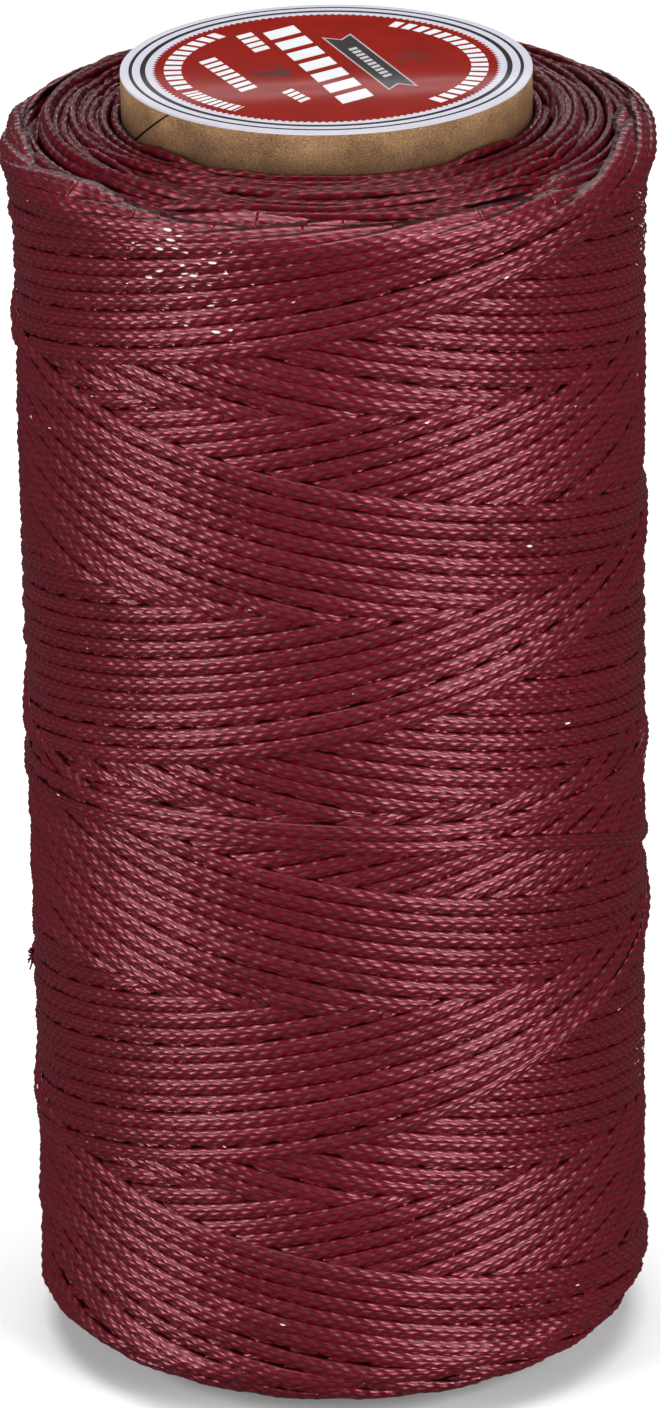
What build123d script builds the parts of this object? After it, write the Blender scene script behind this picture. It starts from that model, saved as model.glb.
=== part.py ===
from build123d import *
import os
from math import cos, hypot, radians, sin

# Waxed thread spool: one flat waxed thread cross-wound on a straight kraft paper tube, with a
# round paper label glued over the tube's upper end. Millimetres. The origin is the centre of the
# tube's lower rim, on which the spool stands, and +Z runs up the spool's axis.

# ---- Driving dimensions -------------------------------------------------------------------------

# Paper tube. It is wound from strips of kraft paper glued over each other.
tube_length = 116.5
tube_outer_diameter = 35.0
inner_ply = 0.30
body_plies = 1.35
outer_ply = 0.35

# Butt seam of the outer ply, a helix that rises counter-clockwise seen from above.
seam_pitch = 74.0
seam_width = 0.20
seam_angle_at_top = -139.0

# Label on the tube's upper rim.
label_thickness = 0.20
label_inset = 0.0

# Thread package on the tube. The tube stands proud of it below by bottom_reveal, and above by the
# rest of its length.
winding_height = 110.0
bottom_reveal = 2.5
winding_diameter = 54.3
winding_clearance = 0.02
top_shoulder = 1.2
bottom_shoulder = 2.6
rim_swell = 0.55
rim_swell_height = 11.0

# The thread itself, as it shows in the last wraps, which lie on top of the package.
thread_width = 1.6
thread_thickness = 0.7

# The last level turn. It lies on a gently tilted plane: its mean height above the package's lower
# end, its rise above and below that, and the side it is high on.
last_turn_lift = 53.2
last_turn_rise = 2.0
last_turn_high_side = -105.0

# The tail leaves the last turn and runs down behind the package to its cut end, as a helix. It
# starts a little below the middle of the last turn, so that the two touch there, and it bulges
# out from the package a little more than the last turn does.
tail_start_below_turn = 0.8
tail_bulge = 0.1
tail_drop = 22.9
tail_start = -80.0
tail_end = 178.0
wrap_clearance = 0.02

# ---- Sizes that follow --------------------------------------------------------------------------

tube_outer_radius = tube_outer_diameter / 2
body_outer_radius = tube_outer_radius - outer_ply
body_inner_radius = body_outer_radius - body_plies
bore_radius = body_inner_radius - inner_ply
winding_radius = winding_diameter / 2
winding_inner_radius = tube_outer_radius + winding_clearance
winding_bottom = bottom_reveal
winding_top = winding_bottom + winding_height
wrap_inner_radius = winding_radius + wrap_clearance
wrap_middle_radius = wrap_inner_radius + thread_thickness / 2
wrap_outer_radius = wrap_inner_radius + thread_thickness
last_turn_height = winding_bottom + last_turn_lift
label_radius = tube_outer_radius - label_inset


def paper_layer(inner_radius, outer_radius):
    """One glued layer of the tube, over its whole length."""
    with BuildPart() as layer:
        with BuildSketch():
            Circle(outer_radius)
            Circle(inner_radius, mode=Mode.SUBTRACT)
        extrude(amount=tube_length)
    return layer.part


def section_plane(helix):
    """The plane across a helix at its start, with X pointing away from the spool's axis."""
    start = helix @ 0
    return Plane(origin=start, x_dir=(start.X, start.Y, 0), z_dir=helix % 0)


# ---- Tube ---------------------------------------------------------------------------------------

with BuildPart() as tube_inner_ply:
    add(paper_layer(bore_radius, body_inner_radius))

with BuildPart() as tube_body_plies:
    add(paper_layer(body_inner_radius, body_outer_radius))

# The outer ply is one strip wound edge to edge. The seam cutter runs past both ends of the tube.
# A helix starts over the X axis, so it is turned about the spool's axis to where its end belongs.
seam_overrun = 0.05 * seam_pitch
seam_turns_below_top = (tube_length + seam_overrun) / seam_pitch
seam_path = Helix(
    pitch=seam_pitch,
    height=tube_length + 2 * seam_overrun,
    radius=(body_outer_radius + tube_outer_radius) / 2,
    center=(0, 0, -seam_overrun),
).rotate(Axis.Z, seam_angle_at_top - 360 * seam_turns_below_top)

with BuildPart() as tube_outer_ply:
    add(paper_layer(body_outer_radius, tube_outer_radius))
    with BuildSketch(section_plane(seam_path)):
        Rectangle(2 * outer_ply, seam_width)
    sweep(path=seam_path, is_frenet=True, mode=Mode.SUBTRACT)

# ---- Label --------------------------------------------------------------------------------------

with BuildPart() as top_label:
    with BuildSketch(Plane.XY.offset(tube_length)):
        Circle(label_radius)
    extrude(amount=label_thickness)

# ---- Thread package -----------------------------------------------------------------------------

# Half section: a straight side, a small rounded shoulder below, and above it a swell where the
# thread turns back, with its own rounded shoulder.
swell_radius = winding_radius + rim_swell

with BuildPart() as thread_winding:
    with BuildSketch(Plane.XZ):
        with BuildLine():
            lower_edge = Line((winding_inner_radius, winding_bottom),
                              (winding_radius - bottom_shoulder, winding_bottom))
            lower_shoulder = TangentArc(
                lower_edge @ 1,
                (winding_radius, winding_bottom + bottom_shoulder),
                tangent=(1, 0),
            )
            side = Line(lower_shoulder @ 1, (winding_radius, winding_top - rim_swell_height))
            swell = Spline(
                side @ 1,
                (swell_radius, winding_top - top_shoulder),
                tangents=[(0, 1), (0, 1)],
            )
            upper_shoulder = TangentArc(
                swell @ 1,
                (swell_radius - top_shoulder, winding_top),
                tangent=(0, 1),
            )
            upper_edge = Line(upper_shoulder @ 1, (winding_inner_radius, winding_top))
            Line(upper_edge @ 1, lower_edge @ 0)
        make_face()
    revolve(axis=Axis.Z)


# ---- Last turn and tail -------------------------------------------------------------------------

# The last turn is a thin shell round the package, cut to the thread's width by a tilted slab.
turn_slope = last_turn_rise / wrap_middle_radius
turn_high = (cos(radians(last_turn_high_side)), sin(radians(last_turn_high_side)))
turn_reach = last_turn_rise + thread_width
slab_size = 2 * hypot(wrap_outer_radius, turn_reach) + thread_width
slab_plane = Plane(
    origin=(0, 0, last_turn_height),
    x_dir=(turn_high[0], turn_high[1], turn_slope),
    z_dir=(-turn_slope * turn_high[0], -turn_slope * turn_high[1], 1),
)

# The tail's helix is drawn upwards from the cut end, and turns clockwise as it climbs.
turn_height_at_tail = last_turn_height + last_turn_rise * cos(radians(tail_start - last_turn_high_side))
tail_top = turn_height_at_tail - tail_start_below_turn
tail_path = Helix(
    pitch=tail_drop * 360 / (tail_end - tail_start),
    height=tail_drop,
    radius=wrap_middle_radius + tail_bulge,
    center=(0, 0, tail_top - tail_drop),
    lefthand=True,
).rotate(Axis.Z, tail_end)

with BuildPart() as thread_last_turn:
    with BuildSketch(Plane.XY.offset(last_turn_height - turn_reach)):
        Circle(wrap_outer_radius)
        Circle(wrap_inner_radius, mode=Mode.SUBTRACT)
    extrude(amount=2 * turn_reach)
    with BuildSketch(slab_plane):
        Rectangle(slab_size, slab_size)
    extrude(amount=thread_width / 2, both=True, mode=Mode.INTERSECT)
    with BuildSketch(section_plane(tail_path)):
        Rectangle(thread_thickness, thread_width)
    sweep(path=tail_path, is_frenet=True)

# ---- Labels and files ---------------------------------------------------------------------------

pieces = {
    "tube_inner_ply": tube_inner_ply,
    "tube_body_plies": tube_body_plies,
    "tube_outer_ply": tube_outer_ply,
    "top_label": top_label,
    "thread_winding": thread_winding,
    "thread_last_turn": thread_last_turn,
}

os.makedirs("parts", exist_ok=True)
for piece_name, piece in pieces.items():
    piece.part.label = piece_name
    export_step(piece.part, f"parts/{piece_name}.step")
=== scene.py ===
from math import cos, hypot, pi, radians, sin

import bpy
import numpy as np
from mathutils import Matrix, Vector


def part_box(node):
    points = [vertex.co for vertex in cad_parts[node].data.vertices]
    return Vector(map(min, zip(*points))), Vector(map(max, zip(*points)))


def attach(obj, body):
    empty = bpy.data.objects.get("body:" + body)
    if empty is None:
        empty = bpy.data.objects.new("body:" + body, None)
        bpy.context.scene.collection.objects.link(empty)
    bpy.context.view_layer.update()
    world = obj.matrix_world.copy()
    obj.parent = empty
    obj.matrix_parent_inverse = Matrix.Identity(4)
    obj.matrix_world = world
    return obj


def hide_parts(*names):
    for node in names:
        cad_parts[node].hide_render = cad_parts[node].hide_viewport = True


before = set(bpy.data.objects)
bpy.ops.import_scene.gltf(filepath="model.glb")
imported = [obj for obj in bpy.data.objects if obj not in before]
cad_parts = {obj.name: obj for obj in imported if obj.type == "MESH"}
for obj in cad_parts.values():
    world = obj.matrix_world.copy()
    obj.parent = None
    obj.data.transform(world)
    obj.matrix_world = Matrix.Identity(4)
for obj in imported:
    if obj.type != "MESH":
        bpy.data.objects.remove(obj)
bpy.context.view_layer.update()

# Waxed thread spool. The thread is laid strand by strand, oldest first, the way the winder laid it:
# each strand rests on what is under it. Angles round the spool are measured from its front (-Y)
# towards +X, lengths on the thread are in millimetres, and meshes are in metres.

MM = 0.001
TURN = 2 * pi

# ---- Sizes read from the frame ------------------------------------------------------------------

TUBE_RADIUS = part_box("tube_outer_ply")[1].x / MM
TUBE_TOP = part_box("tube_outer_ply")[1].z / MM
WINDING_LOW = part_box("thread_winding")[0].z / MM
WINDING_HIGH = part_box("thread_winding")[1].z / MM
RIM_SWELL = 0.55
WINDING_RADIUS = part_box("thread_winding")[1].x / MM - RIM_SWELL
RIM_SWELL_HEIGHT = 11.0
TOP_SHOULDER = 1.8
BOTTOM_SHOULDER = 2.6

# ---- The thread and how it is wound -------------------------------------------------------------

WIDTH = 1.6
PRESSED_WIDTH = 1.76             # under the pull of the winding, neighbouring strands press together
THICKNESS = 0.7
BRAID = 1.48                     # length of one scale of the braid
STEP = BRAID / 18                # spacing at which a strand is laid
RING_EVERY = 3                   # every so many steps there is a ring of mesh points
RISE = 5.735                     # how far the thread climbs per radian
TURNS_PER_STROKE = 3
PITCH = 1.605                    # spacing of neighbouring strands up the spool
STROKE = TURN * TURNS_PER_STROKE + PITCH / RISE / 2
LOW_APEX = WINDING_LOW + 1.9     # where two strokes would meet if the turn were sharp
HIGH_APEX = LOW_APEX + RISE * STROKE
TURN_ROUNDING = 0.28             # radians over which the thread turns round
LOW_DIP = 2.7                    # how much lower the older strokes turn round at the lower end
LAST_LOW_TURN = 2.02             # angle of the last turn-round at the lower end
STROKES = 94

rng = np.random.default_rng(1871)
SHORT_OF_RIM = rng.uniform(0, 1.2, STROKES // 2 + 1)   # how early each pair of strokes turns at the top


def clear_gap(a, b, x):
    """0 below a, 1 above b, and a smooth step between them."""
    t = np.clip((x - a) / (b - a), 0, 1)
    return t * t * (3 - 2 * t)


def package_radius(z):
    """Outer radius of the thread package at height z, both in millimetres."""
    swell = clear_gap(WINDING_HIGH - RIM_SWELL_HEIGHT, WINDING_HIGH - TOP_SHOULDER, z)
    r = WINDING_RADIUS + RIM_SWELL * swell
    over = np.clip(z - (WINDING_HIGH - TOP_SHOULDER), 0, TOP_SHOULDER)
    r = r - TOP_SHOULDER + np.sqrt(TOP_SHOULDER**2 - over**2 * 0.95)
    under = np.clip((WINDING_LOW + BOTTOM_SHOULDER) - z, 0, BOTTOM_SHOULDER)
    return r - BOTTOM_SHOULDER + np.sqrt(BOTTOM_SHOULDER**2 - under**2 * 0.97)


def smooth(values, sigma_mm, step=STEP):
    """Gaussian smoothing along a strand."""
    sigma = sigma_mm / step
    reach = int(3 * sigma) + 1
    kernel = np.exp(-0.5 * (np.arange(-reach, reach + 1) / sigma) ** 2)
    kernel /= kernel.sum()
    padded = np.pad(values, reach, mode="edge")
    return np.convolve(padded, kernel, mode="valid")


def wander(count, sigma_mm, size):
    """Slow random drift along a strand, with a standard deviation of size."""
    raw = smooth(rng.standard_normal(count), sigma_mm)
    return raw * size / max(raw.std(), 1e-9)


SIDE = np.linspace(-1, 1, 17)
ROUND = np.sqrt(np.clip(1 - np.abs(SIDE) ** 2.3, 0, 1))


class Bed:
    """What a strand is laid on: the height of the thread so far, on a grid round and up the spool."""

    def __init__(self, radius, z_low, z_high):
        self.radius = radius
        self.cell = 0.12
        self.round = int(TURN * radius / self.cell)
        self.up = int((z_high - z_low) / self.cell) + 1
        self.z_low = z_low
        self.height = np.zeros((self.round, self.up), np.float32)

    def cells(self, angle, z):
        i = np.rint(angle / TURN * self.round).astype(int) % self.round
        j = np.clip(np.rint((z - self.z_low) / self.cell), 0, self.up - 1).astype(int)
        return i, j

    def lay(self, angle, z, thickness, conform=1.0, width=WIDTH, carry=None):
        """Lays one strand and returns its section's base height and tilt at each point. carry is the base
        height and tilt at the end of the strand that this one goes on from."""
        run = np.gradient(angle) * self.radius
        rise = np.gradient(z)
        slant = np.arctan2(rise, run)
        side = SIDE * width / 2
        across = angle[:, None] - side * np.sin(slant)[:, None] / self.radius
        upward = z[:, None] + side * np.cos(slant)[:, None]
        i, j = self.cells(across, upward)
        under = self.height[i, j]
        middle = 0.6 * under[:, 3:-3].mean(1) + 0.4 * under[:, 3:-3].min(1)
        base = smooth(middle, 1.0 * conform)
        tilt = (under * SIDE).sum(1) / (SIDE**2).sum()
        tilt = np.clip(smooth(tilt, 1.5) * 0.7, -0.25, 0.25)
        section = thickness * ROUND
        inner = np.abs(SIDE) < 0.72
        for _ in range(2):
            top = base[:, None] + tilt[:, None] * SIDE + section
            short = np.clip((under - top)[:, inner].max(1) + 0.05, 0, None)
            base = base + smooth(short, 0.8) * 1.2
        if carry is not None:
            fade = np.exp(-((np.arange(len(angle)) * STEP / 4.0) ** 2))
            base = base + (carry[0] - base[0]) * fade
            tilt = tilt + (carry[1] - tilt[0]) * fade
        top = base[:, None] + tilt[:, None] * SIDE + section
        self.height[i, j] = np.maximum(self.height[i, j], top)
        return base, tilt, slant, top, (i, j)

    def spread(self, sigma_mm):
        """The finished height, smoothed widely, with empty cells left out."""
        sigma = sigma_mm / self.cell
        reach = int(3 * sigma)
        kernel = np.exp(-0.5 * (np.arange(-reach, reach + 1) / sigma) ** 2)
        filled = (self.height > 0).astype(np.float32)

        def blur(grid):
            grid = np.concatenate([grid[-reach:], grid, grid[:reach]])
            size = grid.shape[0] + 2 * reach
            bell = np.fft.rfft(kernel, size)[:, None]
            grid = np.fft.irfft(np.fft.rfft(grid, size, axis=0) * bell, size, axis=0)
            grid = grid[2 * reach:2 * reach + self.round]
            size = self.up + 4 * reach
            bell = np.fft.rfft(kernel, size)[None, :]
            grid = np.fft.irfft(np.fft.rfft(grid, size, axis=1) * bell, size, axis=1)
            return grid[:, reach:reach + self.up]

        return blur(self.height) / np.maximum(blur(filled), 1e-6)


# ---- Strands ------------------------------------------------------------------------------------


def stroke_path(number, last_low_turn):
    """Angle and height along one stroke. Stroke 0 is the last whole one, and ends at the lower end."""
    end = last_low_turn - number * STROKE
    start = end - STROKE
    count = int(STROKE * hypot(WINDING_RADIUS, RISE) / STEP)
    angle = np.linspace(start, end, count)
    down = number % 2 == 0
    from_start = angle - start
    from_end = end - angle
    near = np.minimum(from_start, from_end)
    rounding = RISE * (np.sqrt(near**2 + TURN_ROUNDING**2) - near)
    if down:
        z = HIGH_APEX - RISE * from_start
        z = np.where(from_start < from_end, z - rounding, z + rounding)
    else:
        z = LOW_APEX + RISE * from_start
        z = np.where(from_start < from_end, z + rounding, z - rounding)
    from_low, from_high = (from_end, from_start) if down else (from_start, from_end)
    dip = LOW_DIP * clear_gap(3, 40, number) * np.exp(-((from_low / 0.55) ** 2))
    dip = dip + SHORT_OF_RIM[number // 2] * np.exp(-((from_high / 0.6) ** 2))
    return angle, z - dip


def last_turn_path():
    """The last stroke, which climbs from the lower end, then goes level twice round and runs down."""
    # Angle in degrees, and height above the package's lower end, of the level turns and the tail.
    route = [(-300, 34.3), (-250, 39.1), (-200, 43.9), (-150, 48.0), (-120, 50.2), (-95, 52.4),
             (-75, 53.6), (-50, 54.8), (-25, 55.6), (0, 55.4), (28, 54.1), (60, 53.5), (90, 53.2),
             (150, 52.2), (210, 51.1), (262, 50.5), (285, 51.4), (303, 52.9), (330, 54.2), (350, 54.4),
             (366, 53.8), (388, 52.7), (404, 51.2), (420, 48.3), (442, 44.2), (470, 41.7), (510, 39.0),
             (550, 36.3), (590, 33.7), (627, 31.2)]
    start = LAST_LOW_TURN
    leave = radians(route[0][0] + 720)
    corners = [(start + a, LOW_APEX + RISE * hypot(a, TURN_ROUNDING)) for a in 0.12 * np.arange(10)]
    first = corners[-1][0]
    climb = np.linspace(first + 0.3, leave - 0.6, 8)
    corners += [(a, LOW_APEX + RISE * (a - start)) for a in climb]
    corners += [(radians(deg + 720), WINDING_LOW + z) for deg, z in route]
    knots = np.array(corners)
    count = int((knots[-1, 0] - knots[0, 0]) * WINDING_RADIUS / STEP)
    angle = np.linspace(knots[0, 0], knots[-1, 0], count)
    z = np.interp(angle, knots[:, 0], knots[:, 1])
    for _ in range(2):
        z = smooth(z, 4.0)
    return angle, z


def end_arc_paths(lanes, crossing, r_low, r_high):
    """Arcs of turned-round thread that show on an end face: some that keep to a lane, then some that
    cross over them. Each is its angles, its distances from the axis and how near its ends each point is."""
    arcs = []
    for lane in range(lanes):
        for third in range(3):
            radius = r_low + (r_high - r_low) * lane / (lanes - 1) + rng.uniform(-0.08, 0.08)
            middle = third * TURN / 3 + lane * 0.7 + rng.uniform(-0.2, 0.2)
            arcs.append((radius, middle, rng.uniform(1.2, 1.4), rng.uniform(-0.25, 0.25)))
    rng.shuffle(arcs)
    for n in range(crossing):
        radius = rng.uniform(r_low + 1.2, r_high - 0.8)
        middle = n * 2.4 + rng.uniform(-0.3, 0.3)
        half = rng.uniform(0.8, 1.3)
        arcs.append((radius, middle, half, rng.choice([-1, 1]) * rng.uniform(0.5, 1.9)))
    paths = []
    for radius, middle, half, drift in arcs:
        x = np.linspace(-1, 1, int(2 * half * radius / STEP))
        path = radius + rng.uniform(-0.35, 0.1) * x**2 + drift * x
        path = path + wander(len(x), 5.0, 0.06)
        paths.append((middle + half * x, np.clip(path, r_low, r_high), np.abs(x)))
    return paths


# Points round a strand's section: across from -1 to 1, and how far up its thickness. Four rows of
# scales lie side by side, with a shallow groove between each two.
RING = [(-0.97, 0.10), (-0.78, 0.74), (-0.5, 0.88), (-0.26, 1.0), (0.0, 0.92), (0.26, 1.0), (0.5, 0.88),
        (0.78, 0.74), (0.97, 0.10), (0.6, 0.0), (-0.6, 0.0)]
END_RING = [(-0.96, 0.10), (-0.62, 0.80), (-0.22, 1.0), (0.22, 1.0), (0.62, 0.80), (0.96, 0.10), (0.0, 0.0)]
SCALE_RELIEF = 0.055
ROW_SLANT = 0.3                  # how much of a scale's length each row leans


def scale_phase(along, across):
    """Where a point lies in its row's scales: whole numbers are the tops."""
    row = np.floor(2 * np.abs(across))
    lean = 2 * np.abs(across) - row
    return along / BRAID + 0.5 * row + 0.5 * (across > 0) + ROW_SLANT * lean


def on_side(angle, cross, height):
    """A point on the package's side: cross is the height up the spool, height the distance from its axis."""
    return np.stack([height * np.sin(angle), -height * np.cos(angle), cross], -1)


def on_end(angle, cross, height):
    """A point on an end face: cross is the distance from the axis, height the height up the spool."""
    return np.stack([cross * np.sin(angle), -cross * np.cos(angle), height], -1)


def strand_mesh(name, runs, place, up=1, profile=None, width=WIDTH, section=RING):
    """One mesh of many lengths of strand: (angle, cross, height of the base, tilt, slant, along,
    thickness)."""
    points, strand, sizes = [], [], []
    across = np.array([c for c, _ in section])
    lift = np.array([h for _, h in section])
    upper = lift > 0.05
    for angle, cross, height, tilt, slant, along, thickness in runs:
        crown = np.abs(np.sin(TURN * across)) > 0.6
        scale = np.cos(TURN * scale_phase(along[:, None], across)) * SCALE_RELIEF * crown
        side = across * width / 2
        thick = thickness * lift + scale + tilt[:, None] * across
        thick = np.where(upper, thick, -0.04 + 0.5 * tilt[:, None] * across)
        a = angle[:, None] - side * np.sin(slant)[:, None] / WINDING_RADIUS
        c = cross[:, None] + side * np.cos(slant)[:, None]
        h = height[:, None] + up * thick
        if profile is not None:
            h = h + profile(c) - profile(cross)[:, None]
        points.append(place(a, c, h).reshape(-1, 3) * MM)
        shape = np.stack([np.repeat(along[:, None], len(section), 1), np.tile(across, (len(along), 1)),
                          np.full((len(along), len(section)), thickness)], -1)
        strand.append(shape.reshape(-1, 3))
        sizes.append(len(angle))
    return tube_mesh(name, np.concatenate(points), np.concatenate(strand), sizes, len(section))


def tube_mesh(name, points, strand, sizes, ring):
    """A mesh of closed tubes, each a run of rings of points, with capped ends and a baking UV map."""
    quads, uvs, caps = [], [], []
    start = 0
    step = np.linalg.norm(points[ring] - points[0])
    total = sum(sizes) * step
    breadth = 4.4 * MM
    row = max((total * breadth) ** 0.5, 12 * step)
    rows = int(total / (row - 2 * step)) + 2
    here = 0.0
    order = np.arange(ring)
    turn = (order + 1) % ring
    for size in sizes:
        base = start + np.arange(size - 1)[:, None] * ring
        a, b = base + order, base + turn
        quads.append(np.stack([a, b, b + ring, a + ring], -1).reshape(-1, 4))
        place = here + np.arange(size - 1) * step
        line = np.floor(place / (row - 2 * step))
        u0 = (place - line * (row - 2 * step)) / row
        u1 = u0 + step / row
        v0 = (line[:, None] + 0.08 + 0.84 * order / ring) / rows
        v1 = v0 + 0.84 / ring / rows
        u0 = np.broadcast_to(u0[:, None], v0.shape)
        u1 = np.broadcast_to(u1[:, None], v0.shape)
        uvs.append(np.stack([u0, v0, u0, v1, u1, v1, u1, v0], -1).reshape(-1, 8))
        caps.append(start + order[::-1])
        caps.append(start + (size - 1) * ring + order)
        here = here + size * step
        start += size * ring
    quads = np.concatenate(quads)
    caps = np.array(caps)
    corner_uv = np.concatenate(uvs).reshape(-1, 4, 2)
    middle = points.mean(0)
    p = points[quads] - middle
    volume = np.einsum("ij,ij->i", p[:, 0], np.cross(p[:, 1] - p[:, 0], p[:, 2] - p[:, 0])).sum()
    if volume < 0:
        quads, caps, corner_uv = quads[:, ::-1], caps[:, ::-1], corner_uv[:, ::-1]
    mesh = bpy.data.meshes.new(name)
    mesh.vertices.add(len(points))
    mesh.vertices.foreach_set("co", points.astype(np.float32).ravel())
    corners = np.concatenate([quads.ravel(), caps.ravel()]).astype(np.int32)
    mesh.loops.add(len(corners))
    mesh.loops.foreach_set("vertex_index", corners)
    starts = np.concatenate([np.arange(len(quads)) * 4, len(quads) * 4 + np.arange(len(caps)) * ring])
    mesh.polygons.add(len(quads) + len(caps))
    mesh.polygons.foreach_set("loop_start", starts.astype(np.int32))
    mesh.update(calc_edges=True)
    mesh.validate()
    corner_uv = np.concatenate([corner_uv.reshape(-1, 2), np.full((caps.size, 2), 0.001)]).astype(np.float32)
    layer = mesh.uv_layers.new(name="OFBake")
    layer.data.foreach_set("uv", corner_uv.ravel())
    data = mesh.attributes.new("strand", "FLOAT_VECTOR", "POINT")
    data.data.foreach_set("vector", strand.astype(np.float32).ravel())
    mesh.polygons.foreach_set("use_smooth", np.ones(len(mesh.polygons), bool))
    mesh.update()
    return mesh


def piece(name, mesh, material, slot, *nodes):
    """A visible piece of the object, which rides on its only body."""
    thing = bpy.data.objects.new(name, mesh)
    bpy.context.scene.collection.objects.link(thing)
    mesh.materials.clear()
    mesh.materials.append(material)
    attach(thing, "root")
    if nodes:
        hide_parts(*nodes)
    return thing


# ---- Materials ----------------------------------------------------------------------------------


class Nodes:
    """A short way to write a material's node tree."""

    def __init__(self, name):
        self.material = bpy.data.materials.new(name)
        self.material.use_nodes = True
        self.tree = self.material.node_tree
        self.shader = self.tree.nodes["Principled BSDF"]

    def new(self, kind, **settings):
        node = self.tree.nodes.new(kind)
        for key, value in settings.items():
            setattr(node, key, value)
        return node

    def link(self, source, target):
        self.tree.links.new(source, target)

    def feed(self, socket, value):
        if isinstance(value, (int, float, tuple)):
            socket.default_value = value
        else:
            self.link(value, socket)

    def math(self, operation, a, b=0.0, c=0.0):
        node = self.new("ShaderNodeMath", operation=operation)
        for socket, value in zip(node.inputs, (a, b, c)):
            self.feed(socket, value)
        return node.outputs[0]

    def noise(self, vector, scale, detail=2.0, roughness=0.5):
        node = self.new("ShaderNodeTexNoise")
        self.link(vector, node.inputs["Vector"])
        node.inputs["Scale"].default_value = scale
        node.inputs["Detail"].default_value = detail
        node.inputs["Roughness"].default_value = roughness
        return node.outputs["Fac"]

    def ramp(self, factor, *stops):
        node = self.new("ShaderNodeValToRGB")
        while len(node.color_ramp.elements) < len(stops):
            node.color_ramp.elements.new(0.5)
        for element, (place, colour) in zip(node.color_ramp.elements, stops):
            element.position = place
            element.color = (*colour, 1)
        self.link(factor, node.inputs["Fac"])
        return node.outputs["Color"]

    def mix(self, factor, a, b, blend="MIX"):
        node = self.new("ShaderNodeMix", data_type="RGBA", blend_type=blend)
        self.feed(node.inputs[0], factor)
        self.feed(node.inputs[6], a)
        self.feed(node.inputs[7], b)
        return node.outputs[2]

    def vector(self, x, y, z):
        node = self.new("ShaderNodeCombineXYZ")
        for socket, value in zip(node.inputs, (x, y, z)):
            self.feed(socket, value)
        return node.outputs[0]

    def bump(self, height, distance, strength=1.0):
        node = self.new("ShaderNodeBump")
        node.inputs["Strength"].default_value = strength
        node.inputs["Distance"].default_value = distance
        self.link(height, node.inputs["Height"])
        return node.outputs["Normal"]

    def set(self, **values):
        for key, value in values.items():
            self.feed(self.shader.inputs[key.replace("_", " ")], value)


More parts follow.
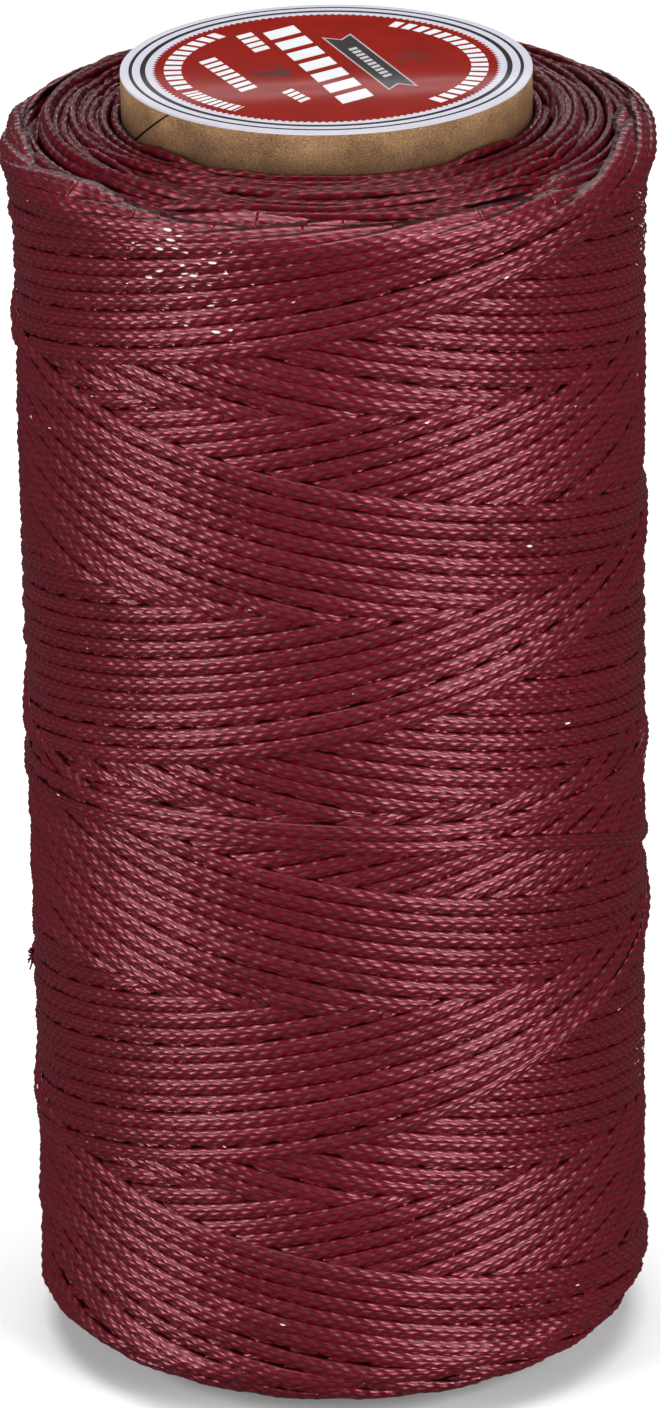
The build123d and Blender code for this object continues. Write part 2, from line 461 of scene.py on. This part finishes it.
def thread_material(name, rows=2.0, shade=1.0, gloss=1.0, painted_glints=()):
    """Burgundy polyester braid, waxed, with so many rows of scales on each side of its middle. Its colour is
    painted lighter on the scales' tops and painted darker in the grooves and at the strands' edges: painted
    highlight and painted shade.
    painted_glints are places where pale painted highlights gather on the scales' tops: (x, y, z, radius).
    shade makes the whole colour darker, as painted shade."""
    m = Nodes(name)
    strand = m.new("ShaderNodeAttribute", attribute_name="strand")
    split = m.new("ShaderNodeSeparateXYZ")
    m.link(strand.outputs["Vector"], split.inputs[0])
    along, across = split.outputs[0], split.outputs[1]
    periods = m.math("DIVIDE", along, BRAID)
    out = m.math("ABSOLUTE", across)
    in_rows = m.math("MULTIPLY", out, rows)
    lean = m.math("FRACT", in_rows)
    beyond_middle = m.math("GREATER_THAN", across, 0.0)
    stagger = m.math("MULTIPLY", m.math("ADD", m.math("FLOOR", in_rows), beyond_middle), 0.5)
    phase = m.math("MULTIPLY_ADD", lean, ROW_SLANT, m.math("ADD", periods, stagger))
    crest = m.math("MULTIPLY_ADD", m.math("COSINE", m.math("MULTIPLY", phase, TURN)), 0.5, 0.5)
    hump = m.math("POWER", m.math("SINE", m.math("MULTIPLY", lean, pi)), 0.7)
    relief = m.math("MULTIPLY", hump, m.math("MULTIPLY_ADD", m.math("POWER", crest, 0.8), 0.75, 0.25))
    fibres = m.noise(m.vector(m.math("MULTIPLY_ADD", out, 1.0, m.math("MULTIPLY", along, 0.6)),
                              m.math("MULTIPLY", across, 5.0), 0.0), 2.2, 2.0, 0.5)
    long_way = m.vector(m.math("MULTIPLY", along, 0.05), m.math("MULTIPLY", across, 0.2), 0.0)
    patches = m.noise(long_way, 1.0, 3.0)
    place = m.new("ShaderNodeTexCoord").outputs["Object"]
    broad = m.noise(place, 60.0, 3.0)
    # Painted shade: the colour darkens towards each strand's edges, where the neighbouring strands cast
    # shade.
    rim = m.math("MAXIMUM", m.math("MULTIPLY_ADD", out, 7.0, -5.6), 0.0)
    # The tops of the scales are painted lighter and the grooves darker, down to a near black: painted
    # highlight and painted shade.
    tone = m.math("MULTIPLY_ADD", fibres, 0.35, m.math("MULTIPLY", relief, 0.62))
    tone = m.math("SUBTRACT", tone, m.math("MULTIPLY", rim, 0.8))
    tone = m.math("ADD", tone, m.math("MULTIPLY_ADD", patches, 0.3, -0.15))
    tone = m.math("ADD", tone, m.math("MULTIPLY_ADD", broad, 0.2, -0.10))
    colour = m.ramp(tone, (0.0, (0.006, 0.0002, 0.0005)), (0.40, (0.043, 0.0005, 0.0026)),
                    (0.95, (0.125, 0.0024, 0.0098)))
    # Painted shade: a shade below 1 darkens the whole colour.
    colour = m.mix(1.0, colour, (shade, shade, shade, 1.0), "MULTIPLY")
    tops = m.math("MULTIPLY_ADD", relief, 4.0, -2.4)
    tops = m.math("MINIMUM", m.math("MAXIMUM", tops, 0.0), 1.0)
    # Pale flecks painted on the tops of the scales, most of all near the painted_glints places: these are
    # painted highlights.
    near = 0.0
    for x, y, z, radius in painted_glints:
        away = m.new("ShaderNodeVectorMath", operation="DISTANCE")
        m.link(place, away.inputs[0])
        away.inputs[1].default_value = (x, y, z)
        closeness = m.math("SUBTRACT", 1.0, m.math("DIVIDE", away.outputs["Value"], radius))
        near = m.math("MAXIMUM", closeness, near)
    scale_by_scale = m.vector(m.math("MULTIPLY", along, 0.45), m.math("MULTIPLY", across, 1.1), 9.0)
    chance = m.noise(scale_by_scale, 1.0, 1.0)
    chance = m.math("ADD", chance, m.math("MULTIPLY", near, 0.24))
    painted_glint = m.math("MULTIPLY", m.math("GREATER_THAN", chance, 0.78), tops)
    colour = m.mix(m.math("MULTIPLY", painted_glint, 0.85), colour, (0.75, 0.58, 0.60, 1.0))
    rough = m.math("ADD", m.math("MULTIPLY_ADD", fibres, 0.20, 0.42), m.math("MULTIPLY", relief, -0.30))
    bump = m.bump(m.math("ADD", relief, m.math("MULTIPLY", fibres, 0.22)), 0.00008, 1.0)
    m.set(Base_Color=colour, Roughness=rough, Normal=bump, Specular_IOR_Level=gloss,
          Coat_Weight=0.07 * gloss, Coat_Roughness=0.16)
    m.shader.inputs["Specular Tint"].default_value = (1.0, 0.31, 0.38, 1)
    return m.material


def kraft_material():
    m = Nodes("kraft_paper")
    place = m.new("ShaderNodeTexCoord").outputs["Object"]
    stretch = m.new("ShaderNodeMapping")
    stretch.inputs["Scale"].default_value = (1.0, 1.0, 1.5)
    m.link(place, stretch.inputs["Vector"])
    fine = m.noise(stretch.outputs[0], 7500.0, 3.0, 0.7)
    coarse = m.noise(place, 300.0, 4.0, 0.6)
    colour = m.ramp(m.math("MULTIPLY_ADD", fine, 0.7, m.math("MULTIPLY", coarse, 0.3)),
                    (0.34, (0.05, 0.022, 0.008)), (0.50, (0.19, 0.098, 0.042)), (0.68, (0.40, 0.25, 0.130)))
    split = m.new("ShaderNodeSeparateXYZ")
    m.link(place, split.inputs[0])
    # Darker below the tube's top, towards the thread: painted shade from the thread and the label, together
    # with wax soaked into the paper.
    below = m.math("DIVIDE", m.math("SUBTRACT", TUBE_TOP * MM, split.outputs[2]), 3.6 * MM)
    wax_and_shade = m.math("MULTIPLY", m.math("MINIMUM", m.math("MAXIMUM", below, 0.0), 1.0), 0.98)
    colour = m.mix(wax_and_shade, colour, (0.34, 0.26, 0.18, 1.0), "MULTIPLY")
    bump = m.bump(fine, 0.00006, 0.8)
    m.set(Base_Color=colour, Roughness=0.78, Normal=bump, Specular_IOR_Level=0.3)
    return m.material


def label_material():
    """Printed foil label: a silver rim with two thin black rings and a red serrated disc. Blocks, dashes
    and a dark banner stand where a maker's lettering would be."""
    m = Nodes("label_print")
    place = m.new("ShaderNodeTexCoord").outputs["Object"]
    split = m.new("ShaderNodeSeparateXYZ")
    m.link(place, split.inputs[0])
    x = m.math("DIVIDE", split.outputs[0], TUBE_RADIUS * MM)
    y = m.math("DIVIDE", split.outputs[1], TUBE_RADIUS * MM)
    radius = m.math("SQRT", m.math("ADD", m.math("MULTIPLY", x, x), m.math("MULTIPLY", y, y)))
    angle = m.math("ARCTAN2", y, x)
    teeth = m.math("PINGPONG", m.math("MULTIPLY", angle, 150 / TURN), 0.5)
    inside = m.math("LESS_THAN", radius, m.math("MULTIPLY_ADD", teeth, 0.036, 0.828))

    def within(value, half):
        return m.math("LESS_THAN", m.math("ABSOLUTE", value), half)

    def both(*masks):
        result = masks[0]
        for mask in masks[1:]:
            result = m.math("MULTIPLY", result, mask)
        return result

    def axes(cx, cy, degrees):
        """Coordinates along and across a line through (cx, cy)."""
        a = radians(degrees)
        u, v = m.math("SUBTRACT", x, cx), m.math("SUBTRACT", y, cy)
        p = m.math("ADD", m.math("MULTIPLY", u, cos(a)), m.math("MULTIPLY", v, sin(a)))
        q = m.math("SUBTRACT", m.math("MULTIPLY", v, cos(a)), m.math("MULTIPLY", u, sin(a)))
        return p, q

    def blocks(cx, cy, degrees, half_long, half_wide, count, gap):
        """A row of slanted blocks."""
        p, q = axes(cx, cy, degrees)
        leaning = m.math("ADD", p, m.math("MULTIPLY", q, 0.35))
        part = m.math("FRACT", m.math("MULTIPLY_ADD", leaning, count / 2 / half_long, count / 2))
        return both(within(leaning, half_long), within(q, half_wide), m.math("GREATER_THAN", part, gap))

    def dashes(middle, half, count):
        """Dashes along the disc's edge, from middle - half to middle + half degrees."""
        turned = m.math("SUBTRACT", angle, radians(middle))
        turned = m.math("WRAP", turned, pi, -pi)
        part = m.math("FRACT", m.math("MULTIPLY", turned, count / 2 / radians(half)))
        return both(within(turned, radians(half)), within(m.math("SUBTRACT", radius, 0.745), 0.042),
                    m.math("GREATER_THAN", part, 0.34))

    silver = (0.40, 0.39, 0.44, 1.0)
    white = (0.52, 0.52, 0.54, 1.0)
    dark = (0.030, 0.026, 0.028, 1.0)
    grain = m.noise(place, 900.0, 2.0)
    red = m.ramp(m.noise(place, 300.0, 3.0), (0.3, (0.14, 0.006, 0.003)), (0.8, (0.19, 0.009, 0.005)))
    for dash in (dashes(168, 36, 12), dashes(222, 14, 9), dashes(8, 56, 20)):
        red = m.mix(dash, red, white)
    for row in (blocks(-0.05, 0.08, -71, 0.62, 0.090, 7, 0.32),
                blocks(-0.48, -0.08, -66, 0.27, 0.050, 8, 0.34),
                blocks(-0.36, 0.42, -70, 0.15, 0.045, 4, 0.30),
                blocks(-0.15, -0.42, -60, 0.10, 0.035, 4, 0.34)):
        red = m.mix(row, red, white)
    p, q = axes(0.21, 0.08, -69)
    notch = m.math("MULTIPLY", m.math("SUBTRACT", 0.08, m.math("ABSOLUTE", q)), 0.9)
    end = m.math("ADD", m.math("ABSOLUTE", p), notch)
    red = m.mix(both(m.math("LESS_THAN", end, 0.452), within(q, 0.076)), red, (0.30, 0.27, 0.27, 1.0))
    red = m.mix(both(m.math("LESS_THAN", end, 0.438), within(q, 0.067)), red, dark)
    red = m.mix(blocks(0.21, 0.08, -69, 0.25, 0.024, 10, 0.36), red, (0.34, 0.34, 0.34, 1.0))
    for cx, cy, size, strength in ((-0.27, -0.08, 0.10, 0.85), (0.42, 0.14, 0.10, 0.45)):
        p, q = axes(cx, cy, -70)
        away = m.math("SQRT", m.math("ADD", m.math("MULTIPLY", p, p), m.math("MULTIPLY", q, q)))
        ink = both(m.math("LESS_THAN", away, size), m.math("GREATER_THAN", grain, 0.5))
        red = m.mix(m.math("MULTIPLY", ink, strength), red, dark)
    colour = m.mix(inside, silver, red)

    def ring(at, half):
        return within(m.math("SUBTRACT", radius, at), half)

    lines = m.math("MAXIMUM", ring(0.950, 0.0085), ring(0.890, 0.0130))
    colour = m.mix(lines, colour, (0.018, 0.018, 0.022, 1.0))
    # The paper dips a little towards its front, which is where it catches the light.
    wave = m.math("MULTIPLY_ADD", m.noise(place, 70.0, 1.0), 0.30, m.math("ADD", y, 0.15))
    dip = m.math("MULTIPLY", m.math("TANH", m.math("DIVIDE", wave, 0.17)), 0.0001)
    m.set(Base_Color=colour, Roughness=0.55, Specular_IOR_Level=0.0, Coat_Weight=0.08, Coat_Roughness=0.12,
          Coat_Normal=m.bump(dip, 1.0))
    return m.material


def floor_material():
    m = Nodes("pale_floor")
    place = m.new("ShaderNodeTexCoord").outputs["Object"]
    colour = m.ramp(m.noise(place, 3.0, 2.0), (0.0, (0.86, 0.86, 0.86)), (1.0, (0.90, 0.90, 0.90)))
    m.set(Base_Color=colour, Roughness=0.7)
    return m.material


# ---- Winding ------------------------------------------------------------------------------------

# painted_glints: places where pale painted highlights gather on the thread.
thread = thread_material("waxed_thread", painted_glints=(
    (-0.0118, -0.0246, 0.1068, 0.009),
    (0.0269, -0.0050, 0.1035, 0.007),
    (0.0269, -0.0050, 0.0545, 0.006),
    (0.0269, -0.0050, 0.0265, 0.005),
))

# A darker copy of the thread for the end faces: shade=0.75 is painted shade for the deep gaps between
# strands seen edge-on under the overhead light.
edge_thread = thread_material("waxed_thread_edge", rows=1.0, shade=0.75, gloss=0.4)

bed = Bed(WINDING_RADIUS, WINDING_LOW - 1, WINDING_HIGH + 1)
laid = []
travelled = 0.0
carry = None
for number in range(STROKES - 1, -1, -1):
    angle, z = stroke_path(number, LAST_LOW_TURN)
    taper = np.clip(np.minimum(np.arange(len(angle)), np.arange(len(angle))[::-1]) * STEP / 20, 0, 1)
    z = z + wander(len(angle), 22.0, 0.09) * taper + rng.uniform(-0.07, 0.07) * taper
    base, tilt, slant, top, cells = bed.lay(angle, z, THICKNESS, carry=carry)
    carry = base[-1], tilt[-1]
    laid.append((number, angle, z, base, tilt, slant, top, cells, travelled))
    travelled += len(angle) * STEP
level = bed.spread(3.0)
package = bed.height.copy()

angle, z = last_turn_path()
base, tilt, slant, top, cells = bed.lay(angle, z, THICKNESS, conform=1.6, carry=carry)
last_turn = (angle, z, base, tilt, slant, top, cells, travelled)

FLATTEN = 0.8                    # how much of the unevenness is left once the package has settled
surface = bed.height
crest = np.quantile((package - level)[package > 0], 0.85)


def radius_of(bed_cells, base):
    """Radius of a strand's base, so that the finished package keeps its outline."""
    middle = len(SIDE) // 2
    i, j = bed_cells[0][:, middle], bed_cells[1][:, middle]
    z = bed.z_low + j * bed.cell
    above = FLATTEN * (base + THICKNESS - smooth(level[i, j], 0.5) - crest)
    above = np.where(above > 0.1, 0.1 + 0.35 * np.tanh((above - 0.1) / 0.35), above)
    return smooth(package_radius(z), 0.5) + above - THICKNESS


wraps = []
for number, angle, z, base, tilt, slant, top, (i, j), start in laid:
    seen = ((surface[i, j] - top) < 0.12)[:, 1:-1].sum(1) >= 1
    seen |= (number < 60) & ((z > WINDING_HIGH - 2.2) | (z < WINDING_LOW + 2.2))
    spread = np.convolve(seen, np.ones(4 * RING_EVERY + 1), mode="same") > 0
    radius = radius_of((i, j), base)
    along = start + np.arange(len(angle)) * STEP
    edges = np.flatnonzero(np.diff(np.concatenate([[0], spread.astype(int), [0]])))
    for first, last in zip(edges[::2], edges[1::2]):
        if last - first < 5 * RING_EVERY:
            continue
        pick = np.append(np.arange(first, last - 1, RING_EVERY), last - 1)
        wraps.append((angle[pick], z[pick], radius[pick], tilt[pick], slant[pick], along[pick], THICKNESS))

PIECES = 12
total = sum(len(run[0]) for run in wraps)
share, group, filled = total / PIECES, [], 0
groups = []
for run in wraps:
    group.append(run)
    filled += len(run[0])
    if filled >= share * (len(groups) + 1):
        groups.append(group)
        group = []
if group:
    groups.append(group)
for number, group in enumerate(groups, 1):
    name = f"thread_wraps_{number}"
    mesh = strand_mesh(name, group, on_side, profile=package_radius, width=PRESSED_WIDTH)
    piece(name, mesh, thread, "waxed_thread", "thread_winding")

angle, z, base, tilt, slant, top, cells, start = last_turn
pick = slice(0, None, RING_EVERY)
along = start + np.arange(len(angle)) * STEP
run = (angle[pick], z[pick], radius_of(cells, base)[pick], tilt[pick], slant[pick], along[pick], THICKNESS)
mesh = strand_mesh("thread_last_turns", [run], on_side, profile=package_radius)
piece("thread_last_turns", mesh, thread, "waxed_thread", "thread_winding", "thread_last_turn")

# The thread's cut end, where its fibres have sprung apart.
FIBRES, FIBRE_POINTS, FIBRE_SIDES, FIBRE_RADIUS = 22, 7, 5, 0.09
end_angle, end_z = angle[-1], z[-1]
end_radius = radius_of(cells, base)[-1] + THICKNESS / 2
fibres = []
for _ in range(FIBRES):
    reach = rng.uniform(0.6, 1.4)
    t = np.linspace(0, 1, FIBRE_POINTS)
    start = end_z + rng.uniform(-0.55, 0.55)
    fall = rng.uniform(-0.9, 1.3) * t**2
    out = rng.uniform(-0.15, 0.45) * t**1.5 + rng.uniform(-0.1, 0.2)
    a = end_angle + (reach * t - 0.3) / WINDING_RADIUS
    fibres.append(on_side(a, start - 0.5 * t + fall, end_radius + out))
spokes = np.linspace(0, TURN, FIBRE_SIDES, endpoint=False)
points, data = [], []
for line in fibres:
    ahead = np.gradient(line, axis=0)
    ahead /= np.linalg.norm(ahead, axis=1)[:, None]
    beside = np.cross(ahead, (0, 0, 1))
    beside /= np.linalg.norm(beside, axis=1)[:, None]
    above = np.cross(beside, ahead)
    ring = beside[:, None] * np.cos(spokes)[:, None] + above[:, None] * np.sin(spokes)[:, None]
    points.append((line[:, None] + FIBRE_RADIUS * ring).reshape(-1, 3) * MM)
    data.append(np.tile((0.3, 0.25, THICKNESS), (len(line) * FIBRE_SIDES, 1)))
mesh = tube_mesh("thread_cut_end", np.concatenate(points), np.concatenate(data),
                 [FIBRE_POINTS] * FIBRES, FIBRE_SIDES)
piece("thread_cut_end", mesh, thread, "waxed_thread", "thread_last_turn")

# ---- End faces ----------------------------------------------------------------------------------

END_WIDTH, END_THICKNESS = 1.0, 0.9   # the flat thread lies on its edge here, so it looks narrower
END_LANES, END_CROSSING = 10, 26
END_RISE = 0.95                  # how much an end face rises towards the tube
END_DIVE = 1.1                   # how far the ends of an arc go down into the package
for name, z_face, up, r_shoulder, shoulder in (
        ("thread_end_top", WINDING_HIGH, 1, WINDING_RADIUS + RIM_SWELL - TOP_SHOULDER, TOP_SHOULDER),
        ("thread_end_bottom", WINDING_LOW, -1, WINDING_RADIUS - BOTTOM_SHOULDER, BOTTOM_SHOULDER)):
    r_low, r_high = TUBE_RADIUS + 0.5 * END_WIDTH, r_shoulder - 0.05
    end_bed = Bed((r_low + r_high) / 2, TUBE_RADIUS - 1, WINDING_RADIUS + 1)
    arcs = []
    for angle, r, reach in end_arc_paths(END_LANES, END_CROSSING, r_low, r_high):
        base, tilt, slant, top, cells = end_bed.lay(angle, r, END_THICKNESS, width=END_WIDTH)
        arcs.append((angle, r, reach, base, tilt, slant, cells))
    end_level = end_bed.spread(2.0)
    runs = []
    for n, (angle, r, reach, base, tilt, slant, (i, j)) in enumerate(arcs):
        here = smooth(end_level[i, j][:, len(SIDE) // 2], 0.8)
        over = np.clip(r + 0.3 * END_WIDTH - r_shoulder, 0, 0.95 * shoulder)
        sink = END_DIVE * clear_gap(0.7, 1.0, reach) - END_RISE * (r_high - r) / (r_high - r_low)
        sink = sink + shoulder - np.sqrt(shoulder**2 - over**2)
        sink = sink + 0.4 * clear_gap(r_high - 1.6, r_high, r)
        relief = 0.8 * np.clip(base + END_THICKNESS - here, -0.4, 0.4)
        height = relief - END_THICKNESS - sink - 0.1
        along = n * 90.0 + np.arange(len(angle)) * STEP
        pick = slice(0, None, RING_EVERY)
        runs.append((angle[pick], r[pick], (z_face + up * height)[pick], tilt[pick], slant[pick],
                     along[pick], END_THICKNESS))
    mesh = strand_mesh(name, runs, on_end, up=up, width=END_WIDTH, section=END_RING)
    piece(name, mesh, edge_thread, "waxed_thread", "thread_winding")


def revolved(name, outline, segments=160):
    """A closed ring made by turning an outline of (radius, z) in millimetres about the axis."""
    angles = np.linspace(0, TURN, segments, endpoint=False)
    outline = np.array(outline)
    r, z = outline[:, 0], outline[:, 1]
    points = np.stack([np.sin(angles)[:, None] * r, -np.cos(angles)[:, None] * r,
                       np.broadcast_to(z, (segments, len(z)))], -1).reshape(-1, 3) * MM
    count = len(outline)
    faces = []
    for s in range(segments):
        t = (s + 1) % segments
        for k in range(count):
            n = (k + 1) % count
            faces.append((s * count + k, t * count + k, t * count + n, s * count + n))
    mesh = bpy.data.meshes.new(name)
    mesh.from_pydata(points.tolist(), [], faces)
    mesh.polygons.foreach_set("use_smooth", np.ones(len(faces), bool))
    return mesh


# The hidden thread under the strands, as one plain ring that lies CORE_DEPTH below the package's side.
CORE_DEPTH = 2.3
core_inside, core_outside = TUBE_RADIUS + 0.02, WINDING_RADIUS - CORE_DEPTH
core_outline = [(core_inside, WINDING_LOW + 1.6), (WINDING_RADIUS - 4.2, WINDING_LOW + 1.8),
                (core_outside, WINDING_LOW + 4.2), (core_outside, WINDING_HIGH - 4.0),
                (WINDING_RADIUS - 3.0, WINDING_HIGH - 1.8), (core_inside, WINDING_HIGH - 0.9)]
piece("thread_core", revolved("thread_core", core_outline), thread, "waxed_thread", "thread_winding")

# ---- Tube and label -----------------------------------------------------------------------------


def dress(node, material):
    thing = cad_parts[node]
    for slot in thing.material_slots:
        slot.material = material
    if not thing.material_slots:
        thing.data.materials.append(material)


kraft = kraft_material()
for node in ("tube_inner_ply", "tube_body_plies", "tube_outer_ply"):
    dress(node, kraft)
dress("top_label", label_material())

# ---- Floor, lights and camera -------------------------------------------------------------------

bpy.ops.mesh.primitive_plane_add(size=6.0, location=(0, 0, 0))
floor = bpy.context.object
floor.name = "floor"
floor.visible_glossy = False
floor.data.materials.append(floor_material())

world = bpy.data.worlds.new("studio")
bpy.context.scene.world = world
world.use_nodes = True
world.node_tree.nodes["Background"].inputs["Color"].default_value = (1, 1, 1, 1)
world.node_tree.nodes["Background"].inputs["Strength"].default_value = 0.07


def softbox(name, azimuth, elevation, distance, width, height, power, aim=(0, 0, 0.06)):
    """An area light. Azimuth 0 is at the front, and positive is towards +X."""
    light = bpy.data.lights.new(name, "AREA")
    light.shape = "RECTANGLE"
    light.size, light.size_y, light.energy = width, height, power
    lamp = bpy.data.objects.new(name, light)
    bpy.context.scene.collection.objects.link(lamp)
    a, e = radians(azimuth), radians(elevation)
    lamp.location = Vector(aim) + distance * Vector((sin(a) * cos(e), -cos(a) * cos(e), sin(e)))
    lamp.rotation_euler = (Vector(aim) - lamp.location).to_track_quat("-Z", "Y").to_euler()
    return lamp


softbox("left_softbox", -60, 14, 0.9, 0.36, 0.8, 11.0)
softbox("right_softbox", 47, 14, 0.9, 0.40, 0.8, 13.6)
softbox("overhead_softbox", 180, 84, 1.2, 1.0, 1.0, 17)
softbox("back_strip", 180, 22.2, 1.2, 0.8, 0.06, 1.8, aim=(0, 0, 0.1167))

CAMERA_LENS = 204.27
camera_data = bpy.data.cameras.new("camera")
camera_data.lens = CAMERA_LENS
camera_data.sensor_width = 36.0
camera_data.clip_end = 20.0
camera = bpy.data.objects.new("camera", camera_data)
bpy.context.scene.collection.objects.link(camera)
bpy.context.scene.camera = camera
PITCH_DOWN, ROLL, YAW = 0.3951, -0.0151, -0.0007
forward = Vector((sin(YAW) * cos(PITCH_DOWN), cos(YAW) * cos(PITCH_DOWN), -sin(PITCH_DOWN)))
right = Vector((cos(YAW), -sin(YAW), 0))
upward = right.cross(forward)
tilted_right = cos(ROLL) * right + sin(ROLL) * upward
tilted_up = -sin(ROLL) * right + cos(ROLL) * upward
pose = Matrix((tilted_right, tilted_up, -forward)).transposed().to_4x4()
pose.translation = Vector((0, -645.9, 327.57)) * MM
camera.matrix_world = pose

bpy.context.scene.view_settings.view_transform = "Standard"
